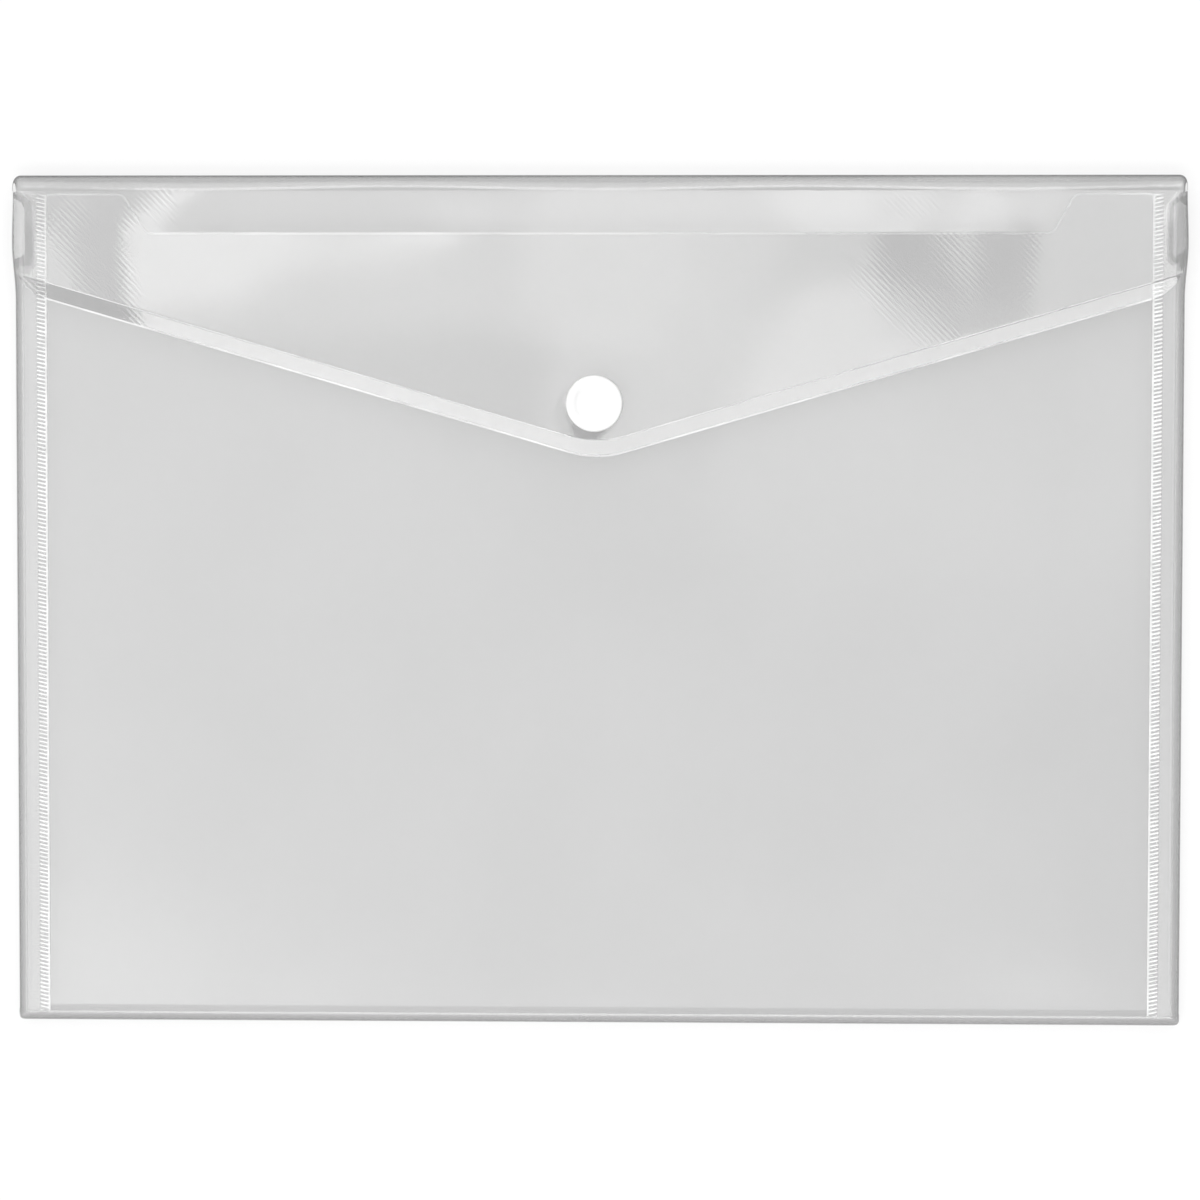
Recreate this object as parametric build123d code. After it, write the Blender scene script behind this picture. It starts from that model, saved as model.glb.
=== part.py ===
from build123d import *
from math import atan2, cos, radians, sin, tan
import os

# A document wallet of clear film: a flat pocket with a V flap that closes on a press stud.
# It lies on its back. X is its width, Y its height with the flap's fold at the top, and Z its
# thickness. The origin is under its middle, on the surface that it lies on. Lengths are millimetres.

# The film and the stack of layers, from the surface upwards
film = 0.2
pocket_gap = 5.4
flap_gap = 3.0

# Outline of the closed wallet, seen from above
wallet_width = 330.0
wallet_height = 240.0
top_corner_radius = 2.0
bottom_corner_radius = 1.0

# Front panel: two ears beside a wide thumb cut
mouth_inset = 5.15
ear_corner_radius = 1.0
ear_width = 21.8
thumb_depth = 11.05
thumb_slope_width = 6.2
thumb_radius = 3.0

# Weld seams: the front panel and the side tabs are fused in a knurled strip
seam_inset = 6.5
seam_width = 2.9
seam_land = 0.6
seam_below_ear = 4.2
rib_pitch = 1.13
rib_depth = 0.15

# Flap: straight sides, a V with a round tip, and a border creased down along the V
flap_side_inset = 0.5
flap_side = 27.8
flap_drop = 48.0
flap_corner_radius = 13.0
flap_tip_radius = 28.0
border_width = 4.6
border_angle = 7.0

# Press stud: where it sits, and what is outside the flap
stud_above_apex = 16.2
stud_offset = -0.7
cap_diameter = 16.0
cap_thickness = 1.5
cap_edge_radius = 0.6
cap_dish_diameter = 12.0
cap_dish_depth = 0.3
cap_pin_diameter = 3.0

# Press stud: the socket under the flap
socket_diameter = 11.0
socket_web = 0.6
socket_edge = 0.3
lip_height = 0.3
cap_head_diameter = 4.4
cap_head_thickness = 0.4

# Press stud: the ball stud on the front panel and the backing inside the pocket
flange_diameter = 10.0
flange_thickness = 0.7
ball_diameter = 5.8
neck_diameter = 5.0
ball_top_diameter = 4.6
stud_pin_diameter = 2.0
stud_head_diameter = 3.0
stud_head_thickness = 0.35
backing_diameter = 12.0
backing_thickness = 0.8
backing_edge = 0.3

# Clearances
snap_clearance = 0.2
pin_clearance = 0.05
film_hole_clearance = 0.2

# Levels and radii that follow from the stack
tab_z = film + pocket_gap
front_z = tab_z + film
front_top = front_z + film
flap_z = front_top + flap_gap
flap_top = flap_z + film
side_radius = (tab_z + film) / 2
bottom_radius = front_top / 2
roll_radius = flap_top / 2
cap_web_z = flap_z - socket_web
knob_top = cap_web_z - cap_head_thickness - snap_clearance
knob_seat = knob_top - stud_head_thickness

# Lines that the panels, folds and seams share
half_width = wallet_width / 2
half_height = wallet_height / 2
fold_x = half_width - side_radius
bottom_y = bottom_radius - half_height
hinge_y = half_height - roll_radius
ear_y = half_height - mouth_inset
seam_top_y = ear_y - seam_below_ear
seam_outer_x = half_width - seam_inset
seam_inner_x = seam_outer_x - seam_width
flap_half_width = half_width - flap_side_inset
flap_corner_y = hinge_y - flap_side
flap_apex_y = flap_corner_y - flap_drop
stud_y = flap_apex_y + stud_above_apex

# How a round piece stands on its place, or hangs from it
standing = (Align.CENTER, Align.CENTER, Align.MIN)
hanging = (Align.CENTER, Align.CENTER, Align.MAX)


def half_tube(radius, length):
    """Half a ring of film along X, centred on the origin, on the side of +Y."""
    ring = Circle(radius) - Circle(radius - film)
    outer_half = Rectangle(radius, 2 * radius, align=(Align.MIN, Align.CENTER))
    return extrude(Plane.YZ * (ring & outer_half), amount=length / 2, both=True)


def rolled_edge(radius, width, corner_radius):
    """A half tube whose two outer corners are rounded, seen from above."""
    plan = Rectangle(width, radius, align=(Align.CENTER, Align.MIN))
    plan = fillet(plan.vertices().group_by(Axis.Y)[-1], corner_radius)
    return half_tube(radius, width) & extrude(plan, amount=radius, both=True)


def outline_face(points, radii):
    """A flat face inside an open path with rounded corners and a straight closing edge."""
    path = FilletPolyline(*points, radius=radii)
    closing = Line(path @ 1, path @ 0)
    return make_face([*path.edges(), closing])


def mirror_image(points):
    """The left half of an outline, in order, from its right half."""
    return [(-x, y) for x, y in reversed(points)]


def pin_hole(diameter, z, thickness):
    """The round hole for a stud's pin through a layer of film."""
    radius = diameter / 2 + film_hole_clearance
    return Pos(stud_offset, stud_y, z + thickness / 2) * Cylinder(radius, 2 * thickness)


def turned(points):
    """A piece turned round the stud's axis: points are radius and height, closed to a loop."""
    profile = make_face(Polyline(*points, close=True))
    return Pos(stud_offset, stud_y, 0) * revolve(Plane.XZ * profile, axis=Axis.Z)


def make_back_panel():
    height = hinge_y - bottom_y
    plate = Box(2 * fold_x, height, film, align=(Align.CENTER, Align.MIN, Align.MIN))
    return Pos(0, bottom_y, 0) * plate


def make_front_panel():
    """The panel between the weld seams, with a wide thumb cut between two ears."""
    ear_inner_x = seam_inner_x - ear_width
    right = [
        (seam_inner_x, bottom_y),
        (seam_inner_x, ear_y),
        (ear_inner_x, ear_y),
        (ear_inner_x - thumb_slope_width, ear_y - thumb_depth),
    ]
    radii = [ear_corner_radius] + 4 * [thumb_radius] + [ear_corner_radius]
    panel = extrude(outline_face(right + mirror_image(right), radii), amount=film)
    return Pos(0, 0, front_z) * panel - pin_hole(stud_pin_diameter, front_z, film)


def make_bottom_fold():
    fold = rolled_edge(bottom_radius, wallet_width, bottom_corner_radius)
    return Pos(0, bottom_y, bottom_radius) * Rot(0, 0, 180) * fold


def make_side_fold(side):
    fold = Rot(0, 0, -90 * side) * half_tube(side_radius, hinge_y - bottom_y)
    return Pos(side * fold_x, (hinge_y + bottom_y) / 2, side_radius) * fold


def make_side_tab(side):
    """The strip from the side fold to the seam, with its upper end cut on a slant."""
    corners = [
        (side * fold_x, bottom_y),
        (side * fold_x, hinge_y),
        (side * seam_outer_x, seam_top_y),
        (side * seam_outer_x, bottom_y),
    ]
    return Pos(0, 0, tab_z) * extrude(make_face(Polyline(*corners, close=True)), amount=film)


def make_weld_seam(side):
    """The fused strip: a row of cross ribs and a smooth land beside the front panel."""
    length = seam_top_y - bottom_y
    rib_count = int(length / rib_pitch)
    pitch = length / rib_count
    valley = front_top - rib_depth
    ribs = [(bottom_y, valley)]
    for rib in range(1, rib_count + 1):
        ribs.append((bottom_y + rib * pitch - pitch / 2, front_top))
        ribs.append((bottom_y + rib * pitch, valley))
    section = make_face(Polyline((bottom_y, tab_z), *ribs, (seam_top_y, tab_z), close=True))
    knurl_width = seam_width - seam_land
    knurl = extrude(Plane.YZ * section, amount=knurl_width)
    land = Box(seam_land, length, front_top - tab_z, align=(Align.MAX, Align.MIN, Align.MIN))
    strip = knurl + Pos(0, bottom_y, tab_z) * land
    if side < 0:
        strip = mirror(strip, about=Plane.YZ)
    return Pos(side * (seam_outer_x - knurl_width), 0, 0) * strip


def make_flap_roll():
    """The living hinge at the top: film rolled from the back panel over to the flap."""
    roll = rolled_edge(roll_radius, wallet_width, top_corner_radius)
    return Pos(0, hinge_y, roll_radius) * roll


def border_wedge(side):
    """What the crease takes off above the border, from the crease line outwards."""
    slope = atan2(flap_drop, flap_half_width)
    outward = Vector(side * sin(slope), -cos(slope), 0)
    crease = Vector(0, flap_apex_y, flap_top) - outward * border_width
    frame = Plane(origin=crease, x_dir=outward, z_dir=outward.cross(Vector(0, 0, 1)))
    fall = wallet_height * tan(radians(border_angle))
    triangle = Polyline((0, 0), (wallet_height, 0), (wallet_height, -fall), close=True)
    return extrude(frame * make_face(triangle), amount=wallet_width, both=True)


def make_flap_panel():
    """The V flap: a layer of film that is flat inside the creases and slopes down along the V."""
    right = [
        (flap_half_width, hinge_y),
        (flap_half_width, flap_corner_y),
    ]
    points = right + [(0, flap_apex_y)] + mirror_image(right)
    face = outline_face(points, [flap_corner_radius, flap_tip_radius, flap_corner_radius])
    bulk = Pos(0, 0, flap_top) * extrude(face, amount=-flap_z)
    bulk = bulk - border_wedge(1) - border_wedge(-1)
    panel = bulk - Pos(0, 0, -film) * bulk
    return panel - pin_hole(cap_pin_diameter, flap_z, film)


def make_flap_stud_cap():
    """The white button: a disc with a shallow dish, a round rim and a headed pin below."""
    disc = Cylinder(cap_diameter / 2, cap_thickness, align=standing)
    disc = fillet(disc.edges().group_by(Axis.Z)[-1], cap_edge_radius)
    dish_radius = cap_dish_diameter / 2
    dish = Cone(dish_radius - cap_dish_depth, dish_radius, cap_dish_depth, align=hanging)
    button = Pos(0, 0, flap_top) * (disc - Pos(0, 0, cap_thickness) * dish)
    pin = Cylinder(cap_pin_diameter / 2, flap_top - cap_web_z, align=standing)
    head = Cylinder(cap_head_diameter / 2, cap_head_thickness, align=hanging)
    return Pos(stud_offset, stud_y, 0) * (button + Pos(0, 0, cap_web_z) * (pin + head))


def make_flap_socket():
    """The ring under the flap: a web that the cap's pin is headed over, and a lip for the ball."""
    bore = cap_pin_diameter / 2 + pin_clearance
    cavity = ball_diameter / 2 + snap_clearance
    mouth = neck_diameter / 2 + snap_clearance
    outer = socket_diameter / 2
    low = front_top + flange_thickness + snap_clearance
    lip_top = low + lip_height
    lip_slope = cavity - mouth
    return turned([
        (bore, flap_z),
        (outer, flap_z),
        (outer, low + socket_edge),
        (outer - socket_edge, low),
        (mouth + lip_slope, low),
        (mouth, low + lip_height / 2),
        (mouth, lip_top),
        (cavity, lip_top + lip_slope),
        (cavity, cap_web_z),
        (bore, cap_web_z),
    ])


def make_front_stud():
    """The ball stud: a flange on the front panel and a headed knob that the socket snaps over."""
    bore = stud_pin_diameter / 2 + pin_clearance
    recess = stud_head_diameter / 2 + pin_clearance
    ball = ball_diameter / 2
    neck = neck_diameter / 2
    flange_top = front_top + flange_thickness
    neck_top = flange_top + snap_clearance + lip_height
    shoulder = neck_top + (ball - neck)
    belt_top = (shoulder + knob_top) / 2
    return turned([
        (bore, front_top),
        (flange_diameter / 2, front_top),
        (flange_diameter / 2, flange_top),
        (neck, flange_top),
        (neck, neck_top),
        (ball, shoulder),
        (ball, belt_top),
        (ball_top_diameter / 2, knob_top),
        (recess, knob_top),
        (recess, knob_seat),
        (bore, knob_seat),
    ])


def make_front_stud_backing():
    """The flat disc inside the pocket, with a pin through the film that is headed in the knob."""
    pin = stud_pin_diameter / 2
    head = stud_head_diameter / 2
    low = front_z - backing_thickness
    return turned([
        (0, low),
        (backing_diameter / 2 - backing_edge, low),
        (backing_diameter / 2, low + backing_edge),
        (backing_diameter / 2, front_z),
        (pin, front_z),
        (pin, knob_seat),
        (head, knob_seat),
        (head, knob_top),
        (0, knob_top),
    ])


nodes = {
    "back_panel": make_back_panel(),
    "front_panel": make_front_panel(),
    "bottom_fold": make_bottom_fold(),
    "left_side_fold": make_side_fold(-1),
    "right_side_fold": make_side_fold(1),
    "left_side_tab": make_side_tab(-1),
    "right_side_tab": make_side_tab(1),
    "left_weld_seam": make_weld_seam(-1),
    "right_weld_seam": make_weld_seam(1),
    "flap_roll": make_flap_roll(),
    "flap_panel": make_flap_panel(),
    "flap_stud_cap": make_flap_stud_cap(),
    "flap_socket": make_flap_socket(),
    "front_stud": make_front_stud(),
    "front_stud_backing": make_front_stud_backing(),
}

os.makedirs("parts", exist_ok=True)
for name, solid in nodes.items():
    export_step(solid, f"parts/{name}.step")
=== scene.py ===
"""A clear document wallet: its film, weld seams and press stud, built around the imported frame.

Lengths are metres. X is the width, Y runs from the bottom fold to the flap's roll, and Z is up.
"""
import math

import bpy
import numpy as np
from mathutils import Matrix, Vector


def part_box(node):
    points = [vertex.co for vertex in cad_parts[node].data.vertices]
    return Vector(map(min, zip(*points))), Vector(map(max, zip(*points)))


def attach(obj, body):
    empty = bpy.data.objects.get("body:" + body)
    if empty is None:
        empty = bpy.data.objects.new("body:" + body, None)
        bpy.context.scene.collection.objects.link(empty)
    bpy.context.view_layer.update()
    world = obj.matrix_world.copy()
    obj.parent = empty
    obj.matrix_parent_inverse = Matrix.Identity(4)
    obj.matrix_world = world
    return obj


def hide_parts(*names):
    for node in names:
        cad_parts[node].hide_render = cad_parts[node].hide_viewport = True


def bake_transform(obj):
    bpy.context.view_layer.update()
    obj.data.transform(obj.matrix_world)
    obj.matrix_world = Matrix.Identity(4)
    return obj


bl_info = {
    "name": "Clear Document Wallet",
    "version": (1, 0, 0),
    "blender": (4, 5, 0),
    "location": "View3D > Sidebar > Wallet",
    "description": "Builds the film, weld seams and press stud of a clear document wallet on its frame",
    "category": "Object",
}

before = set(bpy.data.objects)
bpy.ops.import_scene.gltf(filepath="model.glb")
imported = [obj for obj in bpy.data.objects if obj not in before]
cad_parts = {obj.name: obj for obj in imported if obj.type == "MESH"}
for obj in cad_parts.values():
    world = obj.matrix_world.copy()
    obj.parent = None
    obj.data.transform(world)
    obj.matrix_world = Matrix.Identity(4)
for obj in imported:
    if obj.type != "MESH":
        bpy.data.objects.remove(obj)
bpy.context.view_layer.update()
MM = 0.001

BACK_LOW, BACK_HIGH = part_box("back_panel")
FRONT_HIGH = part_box("front_panel")[1]
BOTTOM_LOW, BOTTOM_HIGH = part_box("bottom_fold")
SIDE_LOW, SIDE_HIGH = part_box("right_side_fold")
TAB_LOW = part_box("right_side_tab")[0]
SEAM_LOW, SEAM_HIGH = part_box("right_weld_seam")
ROLL_LOW, ROLL_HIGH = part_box("flap_roll")
FLAP_LOW, FLAP_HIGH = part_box("flap_panel")
CAP_LOW, CAP_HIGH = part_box("flap_stud_cap")
HINGE_Y = BACK_HIGH.y
BOTTOM_Y = BACK_LOW.y
CAP_CENTRE = (CAP_LOW + CAP_HIGH) / 2
SIDES = (("left", -1), ("right", 1))

# Spacing and number of the points
BACK_STEP = 8 * MM
FOLD_STEP = 3 * MM
TAB_STEP = 0.6 * MM
THUMB_STEP = 1.2 * MM
THUMB_GAP = 0.2 * MM
ROLL_GAP = 1 * MM
LINE_GAP = 0.02 * MM
ARC_POINTS = 9
CORNER_POINTS = 17
SIDE_POINTS = 33
BOTTOM_POINTS = 41
ROLL_POINTS = 49
SIDE_ROWS = 90
RIB_ROWS = 7
RIB_COLUMNS = 10
CAP_SEGMENTS = 96

# Distance within which two points are one, and the least value that counts as more than zero
SAME_POINT = 1e-7
TINY = 1e-9

# Lengths over which a stretch of film that is held flat comes free
STUD_HOLD = 9 * MM
STUD_FADE = 30 * MM
FRONT_FADE = 25 * MM
ROLL_FADE = 16 * MM
CURL_FADE = 5 * MM


# Settings

def length_prop(name, description, millimetres):
    """A size that a user may change, written in millimetres and kept in metres."""
    return bpy.props.FloatProperty(
        name=name, description=description, default=millimetres * MM, unit="LENGTH", precision=5)


def share_prop(name, description, value):
    """A share from 0 to 1."""
    return bpy.props.FloatProperty(
        name=name, description=description, default=value, min=0, max=1, subtype="FACTOR")


def angle_prop(name, description, degrees):
    """An angle, written in degrees and kept in radians."""
    return bpy.props.FloatProperty(
        name=name, description=description, default=math.radians(degrees), subtype="ANGLE")


def colour_prop(name, description, value):
    """A linear colour."""
    return bpy.props.FloatVectorProperty(
        name=name, description=description, default=value, size=3, min=0, max=1, subtype="COLOR")


def level_prop(name, description, value):
    """A plain number, such as a slope or a brightness."""
    return bpy.props.FloatProperty(name=name, description=description, default=value, min=0)


class WalletFilmSettings(bpy.types.PropertyGroup):
    """Sizes and finish of the film."""

    thickness: length_prop("Thickness", "Thickness of the film", (BACK_HIGH.z - BACK_LOW.z) / MM)
    grid_step: length_prop("Grid step", "Spacing of the points on a flat stretch of film", 1.8)
    # Painted highlight: a bright, cloudy white band runs along each cut edge and crease
    edge_highlight_line: length_prop("Edge line", "Width of the bright line along a cut edge", 0.5)
    ear_width: length_prop("Ear width", "Flat top of an ear beside the thumb cut", 21.8)
    ear_radius: length_prop("Ear radius", "Rounding of an ear's outer corner", 1.0)
    thumb_slope: length_prop("Thumb slope", "Width of a slanted end of the thumb cut", 6.2)
    thumb_depth: length_prop("Thumb depth", "Depth of the thumb cut", 11.05)
    thumb_radius: length_prop("Thumb radius", "Rounding of the thumb cut's corners", 3.0)
    flap_side: length_prop("Flap side", "Straight side of the flap above the V", 27.8)
    flap_drop: length_prop("Flap drop", "Height of the V", 48.0)
    flap_corner: length_prop("Flap corner", "Rounding of the flap's outer corners", 13.0)
    flap_tip: length_prop("Flap tip", "Rounding of the V's tip", 28.0)
    border: length_prop("Border", "Width of the creased border along the V", 4.6)
    border_angle: angle_prop("Border angle", "How far the border is creased down", 14.0)
    crease_round: length_prop("Crease round", "Softness of the border's crease", 0.1)
    roll_corner: length_prop("Roll corner", "Rounding of the roll's ends, seen from above", 2.0)
    roll_wave: share_prop("Roll wave", "How far the roll's shape swings from round to pointed", 0.25)
    roll_run: length_prop("Roll run", "Length of one swing of the roll's shape", 115.0)
    fold_corner: length_prop("Fold corner", "Rounding of the bottom fold's ends, seen from above", 1.4)
    # Painted shade: this strip of the front lies flat, with no crease, and only takes the bottom fold's
    # darker finish
    bottom_shade_strip: length_prop("Bottom strip", "Strip of the front creased with the bottom fold", 1.8)
    wave: length_prop("Wave", "Height of the slow waves in the front", 0.22)
    flap_wave: length_prop("Flap wave", "Height of the slow waves in the flap", 0.1)
    flap_dip: length_prop("Flap dip", "How far the flap sinks over the edge of the thumb cut", 0.45)
    dip_return: length_prop("Dip return", "Length over which the flap rises again towards its tip", 75.0)
    dip_half: length_prop("Dip half", "From the middle to where the dip begins to fade at an ear", 104.0)
    dip_fade: length_prop("Dip fade", "Width over which the dip fades at an ear", 34.0)
    clearness: share_prop("Clearness", "Light let through by one face of the front", 0.995)
    flap_clearness: share_prop("Flap clearness", "Light let through by one face of the flap", 0.92)
    # Painted shade: one film throughout, with the back, the lower walls, the side folds, the bottom fold and
    # the roll letting less light through than the front to stand in for the grey shade in the pocket and
    # along its rolled edges
    back_shade_clearness: share_prop("Back clearness", "Light let through by one face of the back", 0.84)
    fold_shade_clearness: share_prop("Fold clearness", "Light let through by one face of a side fold's top", 0.955)
    bottom_shade_clearness: share_prop("Bottom clearness", "Light let through by the bottom fold's top", 0.92)
    roll_shade_clearness: share_prop("Roll clearness", "Light let through by one face of the roll's top", 0.985)
    haze: share_prop("Haze", "Share of the film that scatters light", 0.012)
    front_haze: share_prop("Front haze", "Share of the front that scatters light", 0.09)
    # Painted light: the side tabs get more haze than the front so that they render lighter
    tab_haze_and_light: share_prop("Tab haze", "Share of the side tabs that scatters light", 0.15)
    gloss_spread: share_prop("Gloss spread", "Roughness of the gloss of the flap", 0.06)
    matt_spread: share_prop("Matt spread", "Roughness of the gloss of the front and the back", 0.14)
    fold_spread: share_prop("Fold spread", "Roughness of the gloss of the rolled edges", 0.26)
    hatch_pitch: length_prop("Hatch pitch", "Spacing of the faint hatch pressed into the film", 1.25)
    hatch_height: length_prop("Hatch height", "Height of the faint hatch", 0.0009)
    pucker_height: length_prop("Pucker height", "How far the film stands up beside the stud", 0.41)
    pucker_outer: length_prop("Pucker outer", "Radius at which the pucker begins", 9.6)
    pucker_inner: length_prop("Pucker inner", "Radius at which the pucker is full", 4.5)
    pucker_left: length_prop("Pucker left", "How far left of the stud's middle the pucker lies", 1.8)
    pucker_down: length_prop("Pucker down", "How far below the stud's middle the pucker lies", 2.8)
    end_curl: length_prop("End curl", "How far the flap's ends bend down", 0.75)
    end_run: length_prop("End run", "Length over which the flap's ends bend", 6.5)
    side_swell: length_prop("Side swell", "How far a side fold bulges below the roll", 0.9)
    side_rise: length_prop("Side rise", "How far a side fold's radius grows towards the roll", 0.9)
    side_run: length_prop("Side run", "Length over which a side fold swells", 30.0)


class WalletSeamSettings(bpy.types.PropertyGroup):
    """Sizes and finish of the weld seams."""

    rib_pitch: length_prop("Rib pitch", "Spacing of the pressed ribs", 1.13)
    rib_depth: length_prop("Rib depth", "Depth of the cells between the ribs", 0.15)
    rib_slant: level_prop("Rib slant", "Rise of a rib over its length", 0.22)
    top_gap: length_prop("Top gap", "From the seam's upper end to the top of the front's ears", 0.3)
    land: length_prop("Land", "Smooth strip on the seam's inner side", 0.6)
    colour: colour_prop("Colour", "Colour of the fused film", (0.95, 0.95, 0.95))


class WalletStudSettings(bpy.types.PropertyGroup):
    """Sizes and finish of the press stud."""

    edge_radius: length_prop("Edge radius", "Rounding of the cap's rim", 0.6)
    dish_diameter: length_prop("Dish diameter", "Width of the shallow dish in the cap", 12.0)
    dish_depth: length_prop("Dish depth", "Depth of the shallow dish in the cap", 0.3)
    pin_diameter: length_prop("Pin diameter", "Pin of the cap through the flap", 3.0)
    head_diameter: length_prop("Head diameter", "Head of the pin inside the socket", 4.4)
    head_thickness: length_prop("Head thickness", "Thickness of the pin's head", 0.4)
    colour: colour_prop("Colour", "Colour of the moulded plastic", (0.82, 0.82, 0.82))


class WalletStageSettings(bpy.types.PropertyGroup):
    """Floor, light and camera."""

    floor_colour: colour_prop("Floor colour", "Colour of the pale floor", (0.86, 0.86, 0.86))
    floor_glow: share_prop("Floor glow", "Share of the floor that is plain white to the camera", 0.64)
    floor_size: length_prop("Floor size", "Width of the floor", 8000)
    floor_drop: length_prop("Floor drop", "Gap under the film, so that the faces don't meet", 0.2)
    tent_side: level_prop("Tent side", "Brightness of the light tent's sides", 0.55)
    tent_top: level_prop("Tent top", "Brightness of the light tent's top", 0.6)
    tent_foot: level_prop("Tent foot", "Brightness of the light tent near the floor", 0.25)
    tent_lean: level_prop("Tent lean", "How much brighter the tent is on the left than in its middle", 0.65)
    camera_distance: length_prop("Camera distance", "From the camera to the wallet's middle", 1000)
    camera_pitch: angle_prop("Camera pitch", "Tilt of the camera about X", 2.46880)
    camera_sway: angle_prop("Camera sway", "Tilt of the camera about Y", -1.55721)
    camera_turn: angle_prop("Camera turn", "Turn of the camera about its own axis", -0.07706)
    camera_right: length_prop("Camera right", "Sideways place of the picture's middle", -0.68759)
    camera_up: length_prop("Camera up", "Upright place of the picture's middle", -0.16264)
    camera_lens: bpy.props.FloatProperty(
        name="Camera lens", description="Focal length for a 36 mm picture", default=105.589, unit="CAMERA")


# Shapes: paths, grids and closed walls

def spaced(low, high, step):
    """Evenly spaced values from low to high, about step apart."""
    return np.linspace(low, high, max(2, int(round(abs(high - low) / step)) + 1))


def rounded_path(points, radii, step, arc_points=ARC_POINTS):
    """Points along straight runs whose inner corners are arcs.

    At a corner with directions d before and e after it, turned by t, the arc of radius r starts r tan(t/2)
    before the corner and is centre - n r cos(k) + d r sin(k) for k from 0 to t, where n points inwards.
    """
    points = np.asarray(points, float)
    runs = np.diff(points, axis=0)
    runs /= np.linalg.norm(runs, axis=1)[:, None]
    pieces = [points[:1]]
    for corner, before, after, radius in zip(points[1:-1], runs[:-1], runs[1:], radii):
        turn = math.acos(float(np.clip(before @ after, -1, 1)))
        side = math.copysign(1, before[0] * after[1] - before[1] * after[0])
        inward = side * np.array([-before[1], before[0]])
        start = corner - before * radius * math.tan(turn / 2)
        centre = start + inward * radius
        sweep = np.linspace(0, turn, arc_points)[:, None]
        pieces.append(straight(pieces[-1][-1], start, step))
        pieces.append(centre - inward * radius * np.cos(sweep) + before * radius * np.sin(sweep))
    pieces.append(straight(pieces[-1][-1], points[-1], step))
    path = np.concatenate(pieces)
    keep = np.concatenate([[True], np.linalg.norm(np.diff(path, axis=0), axis=1) > SAME_POINT])
    return path[keep]


def points_of(x, y, z):
    """A grid of points from their X, Y and Z, each an array or one number."""
    return np.stack(np.broadcast_arrays(x, y, z), axis=-1)


def straight(start, end, step):
    """Points of a straight run after its start."""
    count = max(1, int(round(np.linalg.norm(np.subtract(end, start)) / step)))
    share = np.linspace(0, 1, count + 1)[1:, None]
    return start + share * (np.asarray(end) - start)


def wall_faces(rows, columns):
    """Quads of a closed wall: the outer grid, the inner grid turned round, then a rim on each side."""
    outer = np.arange(rows * columns).reshape(rows, columns)
    inner = outer + rows * columns
    skin = np.stack([outer[:-1, :-1], outer[:-1, 1:], outer[1:, 1:], outer[1:, :-1]], axis=-1)
    skin = skin.reshape(-1, 4)
    sides = [
        (outer[0], inner[0]),
        (outer[-1, ::-1], inner[-1, ::-1]),
        (outer[::-1, 0], inner[::-1, 0]),
        (outer[:, -1], inner[:, -1]),
    ]
    rims = [np.stack([a[:-1], b[:-1], b[1:], a[1:]], axis=-1) for a, b in sides]
    return skin, skin[:, ::-1] + rows * columns, rims


def signed_volume(points, faces):
    """Volume inside closed quads, by the sum of the triangles' triple products over six."""
    a, b, c, d = (points[faces[:, k]] for k in range(4))
    first = np.einsum("ij,ij->i", a, np.cross(b, c)).sum()
    second = np.einsum("ij,ij->i", a, np.cross(c, d)).sum()
    return (first + second) / 6


def new_object(name, points, faces, materials):
    """A mesh object at the origin with its materials, linked to the scene."""
    mesh = bpy.data.meshes.new(name)
    mesh.from_pydata(points, [], faces)
    for material in materials:
        mesh.materials.append(material)
    made = bpy.data.objects.new(name, mesh)
    bpy.context.scene.collection.objects.link(made)
    return made


def new_piece(name, points, faces, materials, indices, smooth):
    """A mesh object with its faces turned outwards, each with its own material and shading."""
    if signed_volume(points, faces) < 0:
        faces = faces[:, ::-1]
    piece = new_object(name, points.tolist(), faces.tolist(), materials)
    piece.data.polygons.foreach_set("material_index", np.asarray(indices, np.int32))
    piece.data.polygons.foreach_set("use_smooth", np.asarray(smooth, bool))
    piece.data.update()
    return piece


def beside_border(grid, axis, gap=LINE_GAP):
    """The grid with a line close beside its first and its last along an axis, at most halfway to the next."""
    lines = np.moveaxis(grid, axis, 0)
    ends, others = lines[[0, -1]], lines[[1, -2]]
    length = np.linalg.norm(others - ends, axis=-1, keepdims=True)
    close = ends + (others - ends) * np.minimum(gap / np.maximum(length, TINY), 0.5)
    lines = np.concatenate([ends[:1], close[:1], lines[1:-1], close[1:], ends[1:]])
    return np.moveaxis(lines, 0, axis)


def film_sheet(name, outer, inner, cells, rims, materials):
    """A film wall whose faces stay flat up to their rims, by a line of points close beside each border."""
    cells = np.broadcast_to(cells, (outer.shape[0] - 1, outer.shape[1] - 1))
    outer, inner = (beside_border(beside_border(grid, 0), 1) for grid in (outer, inner))
    return film_wall(name, outer, inner, np.pad(cells, 1, mode="edge"), rims, materials)


def film_wall(name, outer, inner, cells, rims, materials):
    """A closed wall from the grids of its two faces.

    cells gives the material of each cell of the grid, and rims that of the first row, the last row, the
    first column and the last column. The rims are flat.
    """
    rows, columns = outer.shape[:2]
    top, under, borders = wall_faces(rows, columns)
    faces = np.concatenate([top, under, *borders])
    cells = np.broadcast_to(cells, (rows - 1, columns - 1)).ravel()
    rim_indices = [np.full(len(border), index) for border, index in zip(borders, rims)]
    indices = np.concatenate([cells, cells, *rim_indices])
    smooth = np.arange(len(faces)) < len(top) + len(under)
    points = np.concatenate([outer.reshape(-1, 3), inner.reshape(-1, 3)])
    return new_piece(name, points, faces, materials, indices, smooth)


SHARP_ANGLE = math.radians(40)


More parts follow.
